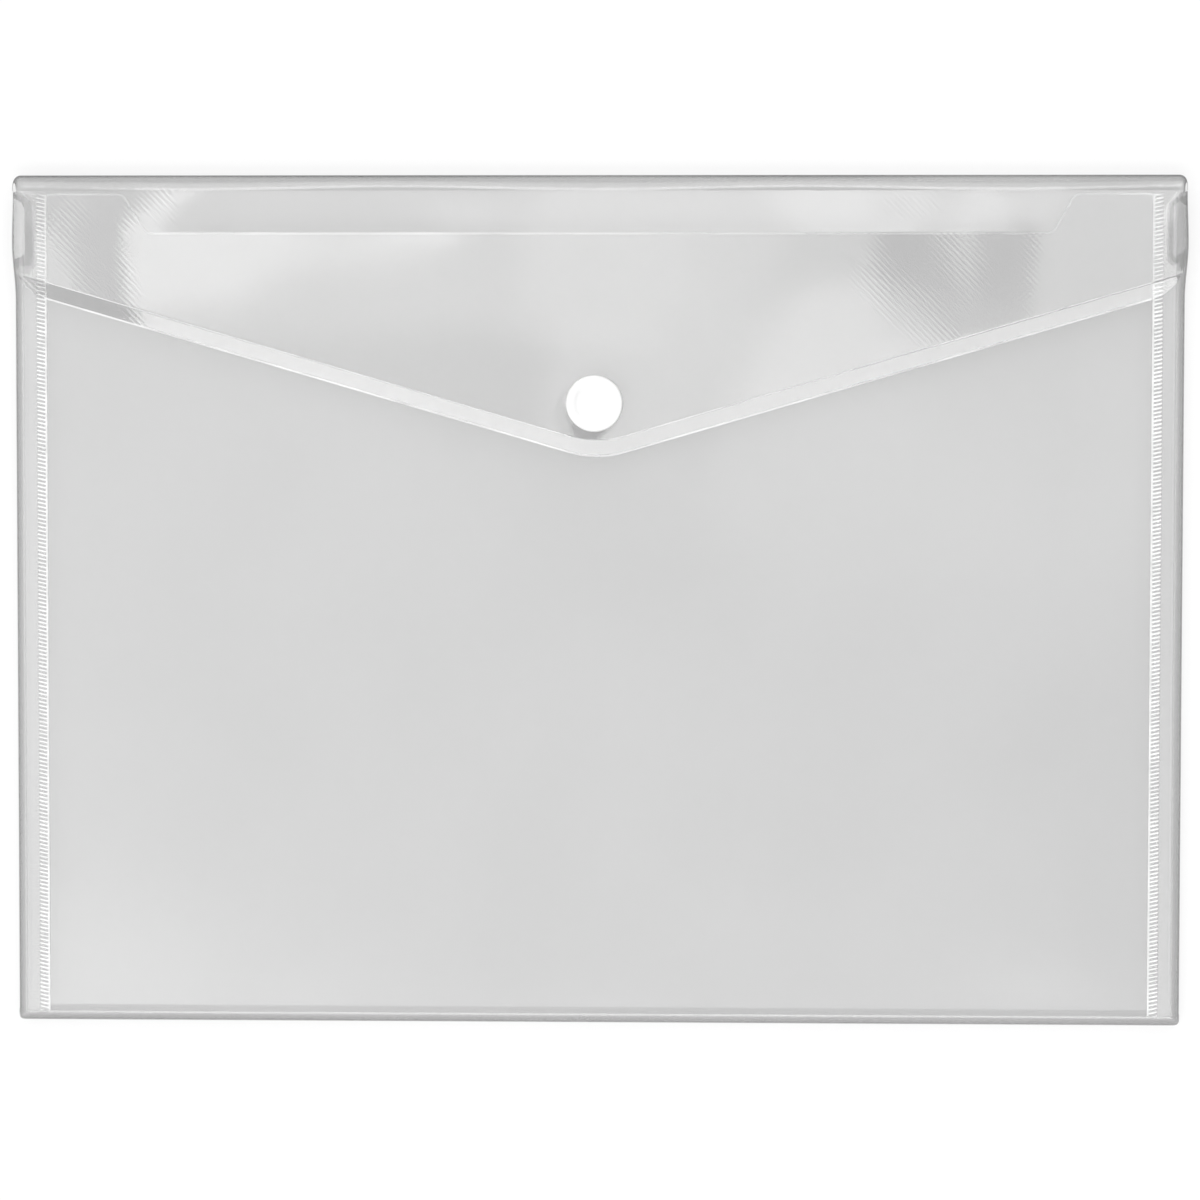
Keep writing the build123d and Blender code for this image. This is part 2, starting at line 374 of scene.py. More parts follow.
def turned_piece(name, profile, centre, material, segments=CAP_SEGMENTS):
    """A solid of revolution: a profile of radius and height, from axis to axis, carried round a circle."""
    angle = np.linspace(0, 2 * math.pi, segments, endpoint=False)
    ring = profile[1:-1]
    x = centre[0] + ring[:, :1] * np.cos(angle)
    y = centre[1] + ring[:, :1] * np.sin(angle)
    poles = np.array([[centre[0], centre[1], profile[0, 1]], [centre[0], centre[1], profile[-1, 1]]])
    points = np.concatenate([points_of(x, y, ring[:, 1:]).reshape(-1, 3), poles])
    index = np.arange(ring.shape[0] * segments).reshape(ring.shape[0], segments)
    beside = np.roll(index, -1, axis=1)
    quads = np.stack([index[:-1], beside[:-1], beside[1:], index[1:]], axis=-1).reshape(-1, 4)
    first, last = len(points) - 2, len(points) - 1
    start = np.stack([beside[0], index[0], np.full(segments, first)], axis=-1)
    end = np.stack([index[-1], beside[-1], np.full(segments, last)], axis=-1)
    faces = quads.tolist() + start.tolist() + end.tolist()
    piece = new_object(name, points.tolist(), faces, [material])
    piece.data.polygons.foreach_set("use_smooth", np.ones(len(faces), bool))
    piece.data.set_sharp_from_angle(angle=SHARP_ANGLE)
    piece.data.update()
    return piece


# Materials

WHITE = (1, 1, 1, 1)
MILK_COLOUR = (0.9, 0.9, 0.9, 1)
# Colour and roughness of the painted highlight along cut edges and creases
EDGE_HIGHLIGHT_COLOUR = (0.95, 0.95, 0.95, 1)
EDGE_HIGHLIGHT_ROUGHNESS = 0.5
RIB_ROUGHNESS = 0.25
WELD_SPREAD = 0.15
WELD_CLEARNESS_SHARE = 0.97
PLASTIC_IOR = 1.49
GRAIN_SCALE = 2600.0
GRAIN_STRENGTH = 0.15
GRAIN_HEIGHT = 0.02 * MM
CROSS_HATCH_SHARE = 0.5
LEAST_COSINE = 0.09
NOISE_LOW, NOISE_HIGH = 0.3, 0.7

# Slow noise in the finishes: its scale, and the least and greatest share of a value
HAZE_NOISE = (14.0, 0.8, 1.2)
SPREAD_NOISE = (30.0, 0.96, 1.04)
EDGE_HIGHLIGHT_NOISE = (60.0, 0.15, 0.45)
RIB_COVER_NOISE = (220.0, 0.7, 1.0)
PLASTIC_ROUGHNESS_NOISE = (400.0, 0.28, 0.36)
PLASTIC_TONE_NOISE = (120.0, 0.97, 1.0)

# How fast a film darkens on a slant: one is the true path through it, and the roll's slant above one is
# painted shade along its rim
FLAT_SLANT = 0.3
BOTTOM_SLANT = 0.2
ROLL_SLANT = 2.0


def new_material(name):
    """An empty node material and its node tree."""
    material = bpy.data.materials.new(name)
    material.use_nodes = True
    material.node_tree.nodes.clear()
    return material, material.node_tree


def put(tree, kind, operation=None, **values):
    """A shader node with some of its inputs set by name or number."""
    node = tree.nodes.new(f"ShaderNode{kind}")
    if operation:
        node.operation = operation
    for key, value in values.items():
        socket = int(key[1:]) if key[1:].isdigit() else key.replace("_", " ")
        if isinstance(value, bpy.types.NodeSocket):
            tree.links.new(value, node.inputs[socket])
        else:
            node.inputs[socket].default_value = value
    return node


def maths(tree, operation, *values):
    """The result of a Math node on sockets and numbers."""
    inputs = {f"i{number}": value for number, value in enumerate(values)}
    return put(tree, "Math", operation, **inputs).outputs[0]


def mixed(tree, share, first, second):
    """A shader that is a share of the second shader and otherwise the first."""
    return put(tree, "MixShader", i0=share, i1=first.outputs[0], i2=second.outputs[0])


def own_place(tree):
    """A point of a piece in the piece's own coordinates."""
    return put(tree, "TexCoord").outputs["Object"]


def facing(tree):
    """How far the film is turned from the eye: one less the cosine, on both faces alike."""
    return put(tree, "LayerWeight", Blend=0.5).outputs["Facing"]


def gloss_share(tree, turned, head_on=0.04, grazing=0.15):
    """The share that a face mirrors: a head-on share plus a grazing share times the fifth power."""
    power = maths(tree, "POWER", turned, 5.0)
    return maths(tree, "MULTIPLY_ADD", power, grazing, head_on)


def passed_share(tree, turned, clearness, slant=1.0):
    """The share that a face lets through: clearness to the power of the slanted path's length.

    The path is one over the cosine, and a slant above one darkens the rim of a roll further, as painted
    shade.
    """
    cosine = maths(tree, "SUBTRACT", 1.0, turned)
    bounded = maths(tree, "MAXIMUM", cosine, LEAST_COSINE)
    path = maths(tree, "POWER", bounded, -slant)
    return maths(tree, "POWER", clearness, path)


def pucker_bump(tree, settings):
    """The film stands up a little beside the stud, by the square of the share of the way in to a point."""
    middle = (CAP_CENTRE.x - settings.pucker_left, CAP_CENTRE.y - settings.pucker_down, FLAP_HIGH.z)
    far = put(tree, "VectorMath", "DISTANCE", i0=own_place(tree), i1=middle).outputs["Value"]
    share = put(tree, "MapRange", Value=far, From_Min=settings.pucker_outer,
                From_Max=settings.pucker_inner, To_Min=0.0, To_Max=1.0).outputs[0]
    height = maths(tree, "POWER", share, 2.0)
    bump = put(tree, "Bump", Strength=1.0, Distance=settings.pucker_height, Height=height)
    return bump.outputs["Normal"]


def hatch_bump(tree, settings):
    """A faint diagonal hatch pressed into the film: two crossed sine waves, one stronger than the other."""
    place = own_place(tree)
    rate = 2 * math.pi / settings.hatch_pitch / math.sqrt(2)
    first = put(tree, "VectorMath", "DOT_PRODUCT", i0=place, i1=(rate, rate, 0)).outputs["Value"]
    second = put(tree, "VectorMath", "DOT_PRODUCT", i0=place, i1=(rate, -rate, 0)).outputs["Value"]
    strong = maths(tree, "SINE", first)
    weak = maths(tree, "SINE", second)
    height = maths(tree, "MULTIPLY_ADD", weak, CROSS_HATCH_SHARE, strong)
    bump = put(tree, "Bump", Strength=1.0, Distance=settings.hatch_height, Height=height,
               Normal=pucker_bump(tree, settings))
    return bump.outputs["Normal"]


def uneven(tree, noise, value=1.0):
    """A value that swings between two shares of itself, with slow noise on the piece's own coordinates."""
    scale, low, high = noise
    texture = put(tree, "TexNoise", Vector=own_place(tree), Scale=scale, Detail=2.0)
    return put(tree, "MapRange", Value=texture.outputs[0], From_Min=NOISE_LOW, From_Max=NOISE_HIGH,
               To_Min=value * low, To_Max=value * high).outputs[0]


def film_finish(name, clearness, milkiness, gloss_spread, slant=1.0, hatch=None):
    """Film: light passes with a loss that grows on a slant, under a soft gloss, a little haze and a hatch."""
    material, tree = new_material(name)
    turned = facing(tree)
    clear = put(tree, "BsdfTransparent", Color=passed_share(tree, turned, clearness, slant))
    milky = put(tree, "BsdfDiffuse", Color=MILK_COLOUR)
    body = mixed(tree, uneven(tree, HAZE_NOISE, milkiness), clear, milky)
    spread = uneven(tree, SPREAD_NOISE, gloss_spread)
    gloss = put(tree, "BsdfAnisotropic", Color=WHITE, Roughness=spread)
    if hatch:
        tree.links.new(hatch_bump(tree, hatch), gloss.inputs["Normal"])
    film = mixed(tree, gloss_share(tree, turned), body, gloss)
    put(tree, "OutputMaterial", Surface=film.outputs[0])
    return material


def edge_highlight():
    """Painted highlight for the film's cut edges and creases: a bright, cloudy white band in place of the
    light they catch.
    """
    material, tree = new_material("film_edge")
    clear = put(tree, "BsdfTransparent", Color=EDGE_HIGHLIGHT_COLOUR)
    bright = put(tree, "BsdfPrincipled", Base_Color=EDGE_HIGHLIGHT_COLOUR, Roughness=EDGE_HIGHLIGHT_ROUGHNESS)
    edge = mixed(tree, uneven(tree, EDGE_HIGHLIGHT_NOISE), clear, bright)
    put(tree, "OutputMaterial", Surface=edge.outputs[0])
    return material


def welded_film(settings, film_settings):
    """Fused film: clear in the pressed cells and cloudy white on the ribs, as the rib attribute says."""
    material, tree = new_material("film_weld")
    turned = facing(tree)
    passed = passed_share(tree, turned, film_settings.clearness * WELD_CLEARNESS_SHARE)
    clear = put(tree, "BsdfTransparent", Color=passed)
    colour = (*settings.colour, 1)
    cloudy = put(tree, "BsdfPrincipled", Base_Color=colour, Roughness=RIB_ROUGHNESS)
    rib = put(tree, "Attribute")
    rib.attribute_name = "rib"
    cover = maths(tree, "MULTIPLY", rib.outputs["Fac"], uneven(tree, RIB_COVER_NOISE))
    body = mixed(tree, cover, clear, cloudy)
    gloss = put(tree, "BsdfAnisotropic", Color=WHITE, Roughness=WELD_SPREAD)
    weld = mixed(tree, gloss_share(tree, turned), body, gloss)
    put(tree, "OutputMaterial", Surface=weld.outputs[0])
    return material


def stud_plastic(settings):
    """White moulded plastic: a smooth sheen over a very fine spark-eroded grain."""
    material, tree = new_material("stud_plastic")
    grain = put(tree, "TexNoise", Vector=own_place(tree), Scale=GRAIN_SCALE, Detail=3.0).outputs[0]
    bump = put(tree, "Bump", Strength=GRAIN_STRENGTH, Distance=GRAIN_HEIGHT, Height=grain)
    roughness = uneven(tree, PLASTIC_ROUGHNESS_NOISE)
    tone = uneven(tree, PLASTIC_TONE_NOISE)
    colour = put(tree, "VectorMath", "SCALE", i0=settings.colour[:], Scale=tone).outputs[0]
    plastic = put(tree, "BsdfPrincipled", Base_Color=colour, Roughness=roughness,
                  Normal=bump.outputs["Normal"], IOR=PLASTIC_IOR)
    put(tree, "OutputMaterial", Surface=plastic.outputs[0])
    return material


def pale_floor(settings):
    """A pale matt floor that keeps shadows, with a share of plain white where it is looked at."""
    material, tree = new_material("pale_floor")
    matt = put(tree, "BsdfDiffuse", Color=(*settings.floor_colour, 1))
    white = put(tree, "Emission", Color=WHITE, Strength=1.0)
    floor = mixed(tree, maths(tree, "MULTIPLY", seen_directly(tree), settings.floor_glow), matt, white)
    put(tree, "OutputMaterial", Surface=floor.outputs[0])
    return material


def seen_directly(tree):
    """One for camera, glossy and transmission rays, and nothing for the light that the floor sends on."""
    path = put(tree, "LightPath")
    either = maths(tree, "MAXIMUM", path.outputs["Is Camera Ray"], path.outputs["Is Glossy Ray"])
    return maths(tree, "MAXIMUM", either, path.outputs["Is Transmission Ray"])


def film_materials(settings, kind):
    """The finishes of a piece of film: its faces by kind, the painted highlight of its cut edges and creases,
    a side tab, and the lower walls.
    """
    # Painted shade in the lower clearness of film_back, film_under, film_fold, film_bottom and film_roll;
    # painted light in film_tab's extra haze
    kinds = {
        "film_flap": (settings.flap_clearness, settings.haze, settings.gloss_spread, FLAT_SLANT, settings),
        "film_front": (settings.clearness, settings.front_haze, settings.matt_spread),
        "film_tab": (settings.clearness, settings.tab_haze_and_light, settings.matt_spread),
        "film_back": (settings.back_shade_clearness, settings.haze, settings.matt_spread, FLAT_SLANT),
        "film_under": (settings.back_shade_clearness, settings.haze, settings.matt_spread),
        "film_fold": (settings.fold_shade_clearness, settings.haze, settings.fold_spread),
        "film_bottom": (settings.bottom_shade_clearness, settings.haze, settings.fold_spread, BOTTOM_SLANT),
        "film_roll": (settings.roll_shade_clearness, settings.haze, settings.fold_spread, ROLL_SLANT),
    }
    found = bpy.data.materials.get
    names = (kind, "film_tab", "film_under")
    film, tab, under = (found(name) or film_finish(name, *kinds[name]) for name in names)
    return [film, found("film_edge") or edge_highlight(), tab, under]


# Places of these finishes in a piece's list; the second is the painted highlight of cut edges and creases
CLEAR, EDGE_HIGHLIGHT, TAB, UNDER = 0, 1, 2, 3


# The pocket's film

# The most that the slant of an edge lengthens a distance along Y
MOST_STRETCH = 7


def edge_stretch(path):
    """Length along the path for a unit of X: what turns a distance square to an edge into one along Y."""
    run = np.gradient(path, axis=0)
    stretch = np.hypot(run[:, 0], run[:, 1]) / np.maximum(np.abs(run[:, 0]), TINY)
    return np.clip(stretch, 1, MOST_STRETCH)


def hanging_grid(path, base_y, rows, insets):
    """A grid of X and Y between a straight base line and a shaped edge.

    Each column runs along Y from the base to a point of the path. Its first rows are evenly spaced up to
    the first inset, and the others lie at the insets, which are distances square to the edge.
    """
    reach = path[:, 1] - base_y
    stretch = np.sign(reach) * edge_stretch(path)
    near = path[:, 1] - stretch * insets[0]
    share = np.linspace(0, 1, rows)[:, None]
    even = base_y + share * (near - base_y)
    edge = path[:, 1] - stretch * np.asarray(insets[1:])[:, None]
    y = np.concatenate([even, edge])
    return np.broadcast_to(path[:, 0], y.shape), y


def front_edge(settings):
    """The front panel's top: two ears with a wide thumb cut between them."""
    seam_x, ear_y = FRONT_HIGH.x, FRONT_HIGH.y
    ear_x = seam_x - settings.ear_width
    floor_x, floor_y = ear_x - settings.thumb_slope, ear_y - settings.thumb_depth
    right = [(floor_x, floor_y), (ear_x, ear_y), (seam_x, ear_y), (seam_x, ear_y - settings.ear_radius)]
    left = [(-x, y) for x, y in reversed(right)]
    thumb, ear = settings.thumb_radius, settings.ear_radius
    return rounded_path(left + right, [ear, thumb, thumb, thumb, thumb, ear], settings.grid_step)


def ease(value, reach):
    """Zero at nought and one from the reach on: 3 s^2 - 2 s^3 of the share s of the way between them."""
    share = np.clip(value / reach, 0, 1)
    return share * share * (3 - 2 * share)


def slow_waves(x, y, runs):
    """A sum of sines, each with its length along X and along Y in metres, its turn and its share."""
    total = np.zeros_like(y)
    for along_x, along_y, turn, share in runs:
        total += share * np.sin(2 * math.pi * (x / along_x + y / along_y) + turn)
    return total


def away_from_stud(x, y):
    """Nothing at the press stud, rising to one around it, because the stud holds the film flat."""
    far = np.hypot(x - CAP_CENTRE.x, y - CAP_CENTRE.y)
    return ease(far - STUD_HOLD, STUD_FADE)


FRONT_RUNS = ((0.26, 0.40, 0.4, 1.0), (-0.19, 0.31, 1.9, 0.6), (0.11, -0.23, 3.0, 0.3))
FLAP_RUNS = ((0.13, 0.21, 0.3, 1.0), (-0.085, 0.16, 2.1, 0.55), (0.057, 0.30, 4.0, 0.3))


def front_height(x, y, settings):
    """Height of the front's outer face: slow waves that die out at the seams, the bottom and the stud."""
    held = ease(FRONT_HIGH.x - np.abs(x), FRONT_FADE) * ease(y - BOTTOM_Y, FRONT_FADE) * away_from_stud(x, y)
    return FRONT_HIGH.z + settings.wave * held * slow_waves(x, y, FRONT_RUNS)


def front_film(settings):
    """The front panel: a sheet with slow waves and a shaped top edge."""
    path = front_edge(settings)
    rows = len(spaced(BOTTOM_Y, FRONT_HIGH.y, settings.grid_step))
    x, y = hanging_grid(path, BOTTOM_Y, rows, [settings.edge_highlight_line, 0.0])
    # Painted shade: the lowest strip of the front stays flat and takes the bottom fold's darker finish
    shade_strip_y = BOTTOM_Y + settings.bottom_shade_strip
    shade_strip_rows = int(np.sum(y[:, 0] < shade_strip_y))
    y = np.insert(y, shade_strip_rows, shade_strip_y, axis=0)
    x = np.broadcast_to(path[:, 0], y.shape)
    outer = points_of(x, y, front_height(x, y, settings))
    cells = np.zeros((outer.shape[0] - 1, outer.shape[1] - 1), int)
    cells[:shade_strip_rows] = UNDER
    # Painted highlight along the top's cut edge
    cells[-1] = EDGE_HIGHLIGHT
    rims = [CLEAR, EDGE_HIGHLIGHT, CLEAR, CLEAR]
    inner = outer - (0, 0, settings.thickness)
    materials = film_materials(settings, "film_front")
    materials[UNDER] = film_materials(settings, "film_bottom")[CLEAR]
    return film_sheet("front_film", outer, inner, cells, rims, materials)


def back_film(settings):
    """The back panel: a flat sheet between the folds."""
    x, y = np.meshgrid(spaced(-BACK_HIGH.x, BACK_HIGH.x, BACK_STEP), spaced(BOTTOM_Y, HINGE_Y, BACK_STEP))
    outer = points_of(x, y, BACK_HIGH.z)
    inner = outer - (0, 0, settings.thickness)
    return film_sheet("back_film", outer, inner, CLEAR, [CLEAR] * 4, film_materials(settings, "film_back"))


def rounded_reach(x, half, radius, corner):
    """How far a rolled edge stands out at x: its radius, drawn in on a quarter circle at the ends."""
    past = np.clip(np.abs(x) - (half - corner), 0, corner)
    return radius - corner + np.sqrt(np.maximum(corner ** 2 - past ** 2, 0))


def fold_columns(half, corner, step):
    """X of a rolled edge's columns: even in the middle and closer together on the rounded ends."""
    ends = half - corner + corner * np.sin(np.linspace(0, math.pi / 2, ARC_POINTS))
    middle = spaced(-ends[0], ends[0], step)
    return np.concatenate([-ends[:0:-1], middle, ends[1:]])


# How far the bottom fold's half circle reaches up and down, just short of a quarter turn
BOTTOM_LIFT = math.radians(89.5)


def bottom_film(settings):
    """The bottom fold: a half circle in Y and Z carried along X and round a corner at each end.

    Round a corner the half circle turns from Y to X. At the turn t its reach is the radius over
    (cos(t)^p + sin(t)^p)^(1/p), where the power p draws the outline out to the wanted corner.
    """
    radius = (BOTTOM_HIGH.z - BOTTOM_LOW.z) / 2
    cut = settings.fold_corner * (1 - 1 / math.sqrt(2)) / radius
    power = math.log(2) / -math.log(1 - cut)
    turn = np.linspace(0, math.pi / 2, CORNER_POINTS)[1:]
    stretch = (np.cos(turn) ** power + np.sin(turn) ** power) ** (-1 / power)
    x = spaced(-SIDE_LOW.x, SIDE_LOW.x, FOLD_STEP)
    out_x, out_y = stretch * np.sin(turn), stretch * np.cos(turn)
    base_x = np.concatenate([np.full(len(turn), x[0]), x, np.full(len(turn), x[-1])])
    share_x = np.concatenate([-out_x[::-1], 0 * x, out_x])
    share_y = np.concatenate([out_y[::-1], 1 + 0 * x, out_y])
    angle = np.linspace(-BOTTOM_LIFT, BOTTOM_LIFT, BOTTOM_POINTS)[:, None]
    faces = []
    for inset in (0, settings.thickness):
        reach = (radius - inset) * np.cos(angle)
        z = radius + (radius - inset) * np.sin(angle)
        faces.append(points_of(base_x + share_x * reach, BOTTOM_Y - share_y * reach, z))
    cells = np.where(angle[1:] > TINY, CLEAR, UNDER)
    return film_sheet("bottom_film", *faces, cells, [CLEAR] * 4, film_materials(settings, "film_bottom"))


def side_film(side, settings):
    """A side fold and its tab: a half circle in X and Z that bulges below the roll, then a strip.

    The fold grows to its full bulge over half the run and falls to half of it at the roll, while its height
    rises all the way. The strip is flat, rises to the fold, and is cut on a slant at its upper end.
    """
    radius = (SIDE_HIGH.z - SIDE_LOW.z) / 2
    angle = np.linspace(-math.pi / 2, math.pi / 2, SIDE_POINTS)
    strip = spaced(SIDE_LOW.x, TAB_LOW.x, TAB_STEP)[1:]
    inward = np.concatenate([0 * angle, SIDE_LOW.x - strip])
    out_x = np.concatenate([np.cos(angle), 0 * strip])
    out_z = np.concatenate([np.sin(angle), 1 + 0 * strip])
    top = HINGE_Y - (HINGE_Y - SEAM_HIGH.y) * inward / (SIDE_LOW.x - TAB_LOW.x)
    edge = settings.edge_highlight_line / (HINGE_Y - BOTTOM_Y)
    share = np.concatenate([np.linspace(0, 1, SIDE_ROWS)[:-1], [1 - edge, 1]])[:, None]
    y = BOTTOM_Y + share * (top - BOTTOM_Y)
    run, half_run = settings.side_run, settings.side_run / 2
    swell = ease(y - HINGE_Y + run, half_run) - 0.5 * ease(y - HINGE_Y + half_run, half_run)
    rise = ease(y - HINGE_Y + run, run)
    held = 1 - inward / (SIDE_LOW.x - TAB_LOW.x)
    x = SIDE_LOW.x - inward + out_x * (radius + settings.side_swell * swell)
    z = radius * (1 + out_z) + settings.side_rise * rise * held * (1 + out_z)
    outer = points_of(side * x, y, z)
    inner = outer - settings.thickness * points_of(side * out_x, 0, out_z)
    cells = np.zeros((len(share) - 1, len(inward) - 1), int)
    cells[:, :len(angle) // 2] = UNDER
    cells[:, len(angle) - 1:] = TAB
    # Painted highlight along the tab's slanted cut edge
    cells[-1, len(angle) - 1:] = EDGE_HIGHLIGHT
    name = "right_side_film" if side > 0 else "left_side_film"
    materials = film_materials(settings, "film_fold")
    return film_sheet(name, outer, inner, cells, [CLEAR] * 4, materials)


# The weld seams

RIB_SHARPNESS = 1.5
LAND_SHARES = np.array([0, 0.5, 1, 1.15])
RIB_START_SHARE = 1.3
LAND_END_SHARE = 1.01
LAND_COVER = 0.7
LAND_SINK_SHARE = 0.1


def rib_height(x, y, settings):
    """Zero in a pressed cell and one on a rib: a sharpened cosine along Y that slants across the seam."""
    phase = (y - settings.rib_slant * x) / settings.rib_pitch
    return (0.5 + 0.5 * np.cos(2 * math.pi * phase)) ** RIB_SHARPNESS


def weld_seam(side, settings, film_settings):
    """A fused strip: slanted ribs with pressed cells between them, and a smooth land beside the front."""
    width = SEAM_HIGH.x - SEAM_LOW.x
    ribs = np.linspace(RIB_START_SHARE * settings.land, width, RIB_COLUMNS)
    across = np.concatenate([LAND_SHARES * settings.land, ribs])
    top = FRONT_HIGH.y - settings.top_gap
    count = int((top - SEAM_LOW.y) / settings.rib_pitch)
    along = np.linspace(SEAM_LOW.y, top, RIB_ROWS * count + 1)
    x, y = np.meshgrid(across, along)
    on_land = x <= settings.land * LAND_END_SHARE
    rib = np.where(on_land, LAND_COVER, rib_height(x, y, settings))
    z = SEAM_HIGH.z - settings.rib_depth * np.where(on_land, LAND_SINK_SHARE, 1 - rib)
    outer = points_of(side * (SEAM_LOW.x + x), y, z)
    inner = points_of(side * (SEAM_LOW.x + x), y, SEAM_LOW.z)
    material = bpy.data.materials.get("film_weld") or welded_film(settings, film_settings)
    name = "right_weld" if side > 0 else "left_weld"
    piece = film_wall(name, outer, inner, 0, [0] * 4, [material])
    shade = piece.data.attributes.new("rib", "FLOAT", "POINT")
    shade.data.foreach_set("value", np.concatenate([rib.ravel(), 0 * rib.ravel()]).astype(np.float32))
    return piece


# The flap

def v_slope(settings):
    """Angle between X and a side of the V."""
    return math.atan2(settings.flap_drop, FLAP_HIGH.x)


def flap_edge(settings):
    """The flap's free edge: rounded corners, a V and a round tip."""
    half = FLAP_HIGH.x
    corner_y = HINGE_Y - settings.flap_side
    apex_y = corner_y - settings.flap_drop
    turn = math.pi / 2 - v_slope(settings)
    start_y = corner_y + settings.flap_corner * math.tan(turn / 2)
    points = [(-half, start_y), (-half, corner_y), (0, apex_y), (half, corner_y), (half, start_y)]
    return rounded_path(points, [settings.flap_corner, settings.flap_tip, settings.flap_corner],
                        settings.grid_step, CORNER_POINTS)


def above_v(x, settings):
    """Y of the V without its rounded corners: straight sides with the tip's arc between them."""
    slope = v_slope(settings)
    apex_y = HINGE_Y - settings.flap_side - settings.flap_drop
    arc_half = settings.flap_tip * math.sin(slope)
    centre_y = apex_y + settings.flap_tip / math.cos(slope)
    arc = centre_y - np.sqrt(np.maximum(settings.flap_tip ** 2 - x ** 2, 0))
    line = apex_y + np.abs(x) * math.tan(slope)
    return np.where(np.abs(x) < arc_half, arc, line)


def inside_end(x, y, settings):
    """Distance to the flap's nearer end: along X beside its straight side, and to the arc at its corner."""
    radius = settings.flap_corner
    turn = math.pi / 2 - v_slope(settings)
    centre_x = FLAP_HIGH.x - radius
    centre_y = HINGE_Y - settings.flap_side + radius * math.tan(turn / 2)
    below = np.minimum(y - centre_y, 0)
    beyond = np.abs(x) - centre_x
    return radius - np.hypot(np.maximum(beyond, 0), below) + np.maximum(-beyond, 0)


def thumb_dip(x, y, settings):
    """How far the flap sinks: straight down from the roll to the thumb cut's edge, then slowly up again."""
    line = FRONT_HIGH.y - settings.thumb_depth
    down = (HINGE_Y - y) / (HINGE_Y - line)
    up = 1 - (line - y) / settings.dip_return
    ears = 1 - ease(np.abs(x) - settings.dip_half, settings.dip_fade)
    return settings.flap_dip * ears * np.maximum(np.minimum(down, up), 0)


def flap_height(x, y, settings):
    """Height of the flap's outer face: waves and a dip, a border that falls to the edge, and curled ends.

    At the distance d past the crease, the border has fallen by (d + sqrt(d^2 + r^2)) / 2 times the tangent
    of its angle, where r softens the crease. The curl grows with the square of the nearness to an end.
    """
    slope = v_slope(settings)
    past = settings.border - (y - above_v(x, settings)) * math.cos(slope)
    ramp = 0.5 * (past + np.sqrt(past ** 2 + settings.crease_round ** 2))
    free = ease(HINGE_Y - y, ROLL_FADE)
    waves = settings.flap_wave * free * slow_waves(x, y, FLAP_RUNS) - thumb_dip(x, y, settings)
    near_end = 1 - np.clip(inside_end(x, y, settings) / settings.end_run, 0, 1)
    curl = settings.end_curl * ease(HINGE_Y - y, CURL_FADE) * ease(-past, settings.end_run) * near_end ** 2
    return FLAP_HIGH.z - math.tan(settings.border_angle) * ramp + away_from_stud(x, y) * waves - curl


# Rows beside the crease, from inside it to outside, the cells among them with the crease's painted highlight,
# how close the last row stays to the edge line, and the share of a corner's rounding with no painted
# highlight on its edge
CREASE_ROWS = np.array([2.0, 1.0, 0.5, 0.25, 0.1, 0, -0.1, -0.25, -0.5, -1.2, -2.4]) * MM
CREASE_HIGHLIGHT_CELLS = slice(4, 6)
EDGE_ROW_SHARE = 0.98
BARE_CORNER_SHARE = 0.7


def flap_film(settings):
    """The flap: columns from the roll to the free edge, lifted to the flap's height."""
    path = flap_edge(settings)
    slope = v_slope(settings)
    above_edge = np.append(settings.border + CREASE_ROWS, settings.edge_highlight_line)[:, None]
    lines = above_v(path[:, 0], settings) + above_edge / math.cos(slope)
    floor = path[:, 1] + edge_stretch(path) * settings.edge_highlight_line * EDGE_ROW_SHARE
    steps = np.arange(len(lines))[::-1, None] * LINE_GAP
    lines = np.minimum(np.maximum(lines, floor + steps), HINGE_Y - ROLL_GAP)
    thumb_y = FRONT_HIGH.y - settings.thumb_depth
    band = np.append(spaced(HINGE_Y, thumb_y + THUMB_GAP, THUMB_STEP), thumb_y)[:, None] + 0 * lines[:1]
    start = thumb_y - THUMB_GAP
    share = np.linspace(0, 1, len(spaced(start, FLAP_LOW.y, settings.grid_step)))[:-1, None]
    y = np.concatenate([band, start + share * (lines[0] - start), lines, path[None, :, 1]])
    x = np.broadcast_to(path[:, 0], y.shape)
    outer = points_of(x, y, flap_height(x, y, settings))
    inner = outer - (0, 0, settings.thickness)
    cells = np.zeros((y.shape[0] - 1, y.shape[1] - 1), int)
    on_v = np.abs(path[1:, 0]) < FLAP_HIGH.x - BARE_CORNER_SHARE * settings.flap_corner
    # Painted highlight along the V's cut edge and along its crease
    cells[-1, on_v] = EDGE_HIGHLIGHT
    cells[-len(lines):][CREASE_HIGHLIGHT_CELLS, on_v] = EDGE_HIGHLIGHT
    rims = [CLEAR, EDGE_HIGHLIGHT, CLEAR, CLEAR]
    return film_sheet("flap_film", outer, inner, cells, rims, film_materials(settings, "film_flap"))


def roll_film(settings):
    """The roll over the flap's hinge: a half round in Y and Z carried along X, with rounded ends.

    It reaches out by the cosine of the angle to a power that swings about one along X: above one the roll
    is a little pointed, and below one a little square.
    """
    radius = (ROLL_HIGH.z - ROLL_LOW.z) / 2
    x = fold_columns(ROLL_HIGH.x, settings.roll_corner, FOLD_STEP)
    angle = np.linspace(-math.pi / 2, math.pi / 2, ROLL_POINTS)[:, None]
    reach = rounded_reach(x, ROLL_HIGH.x, radius, settings.roll_corner)
    thin = 1 - settings.thickness / radius
    power = 1 + settings.roll_wave * np.cos(2 * math.pi * x / settings.roll_run)
    shape = np.maximum(np.cos(angle), 0) ** power
    faces = []
    for size in (1.0, thin):
        y = HINGE_Y + size * reach * shape
        z = radius + size * reach * np.sin(angle)
        faces.append(points_of(x, y, z))
    cells = np.where(angle[1:] > TINY, CLEAR, UNDER)
    return film_sheet("roll_film", *faces, cells, [CLEAR] * 4, film_materials(settings, "film_roll"))


# The press stud

DISH_SLOPE = 1.2 * MM
INNER_RING = 1.0 * MM


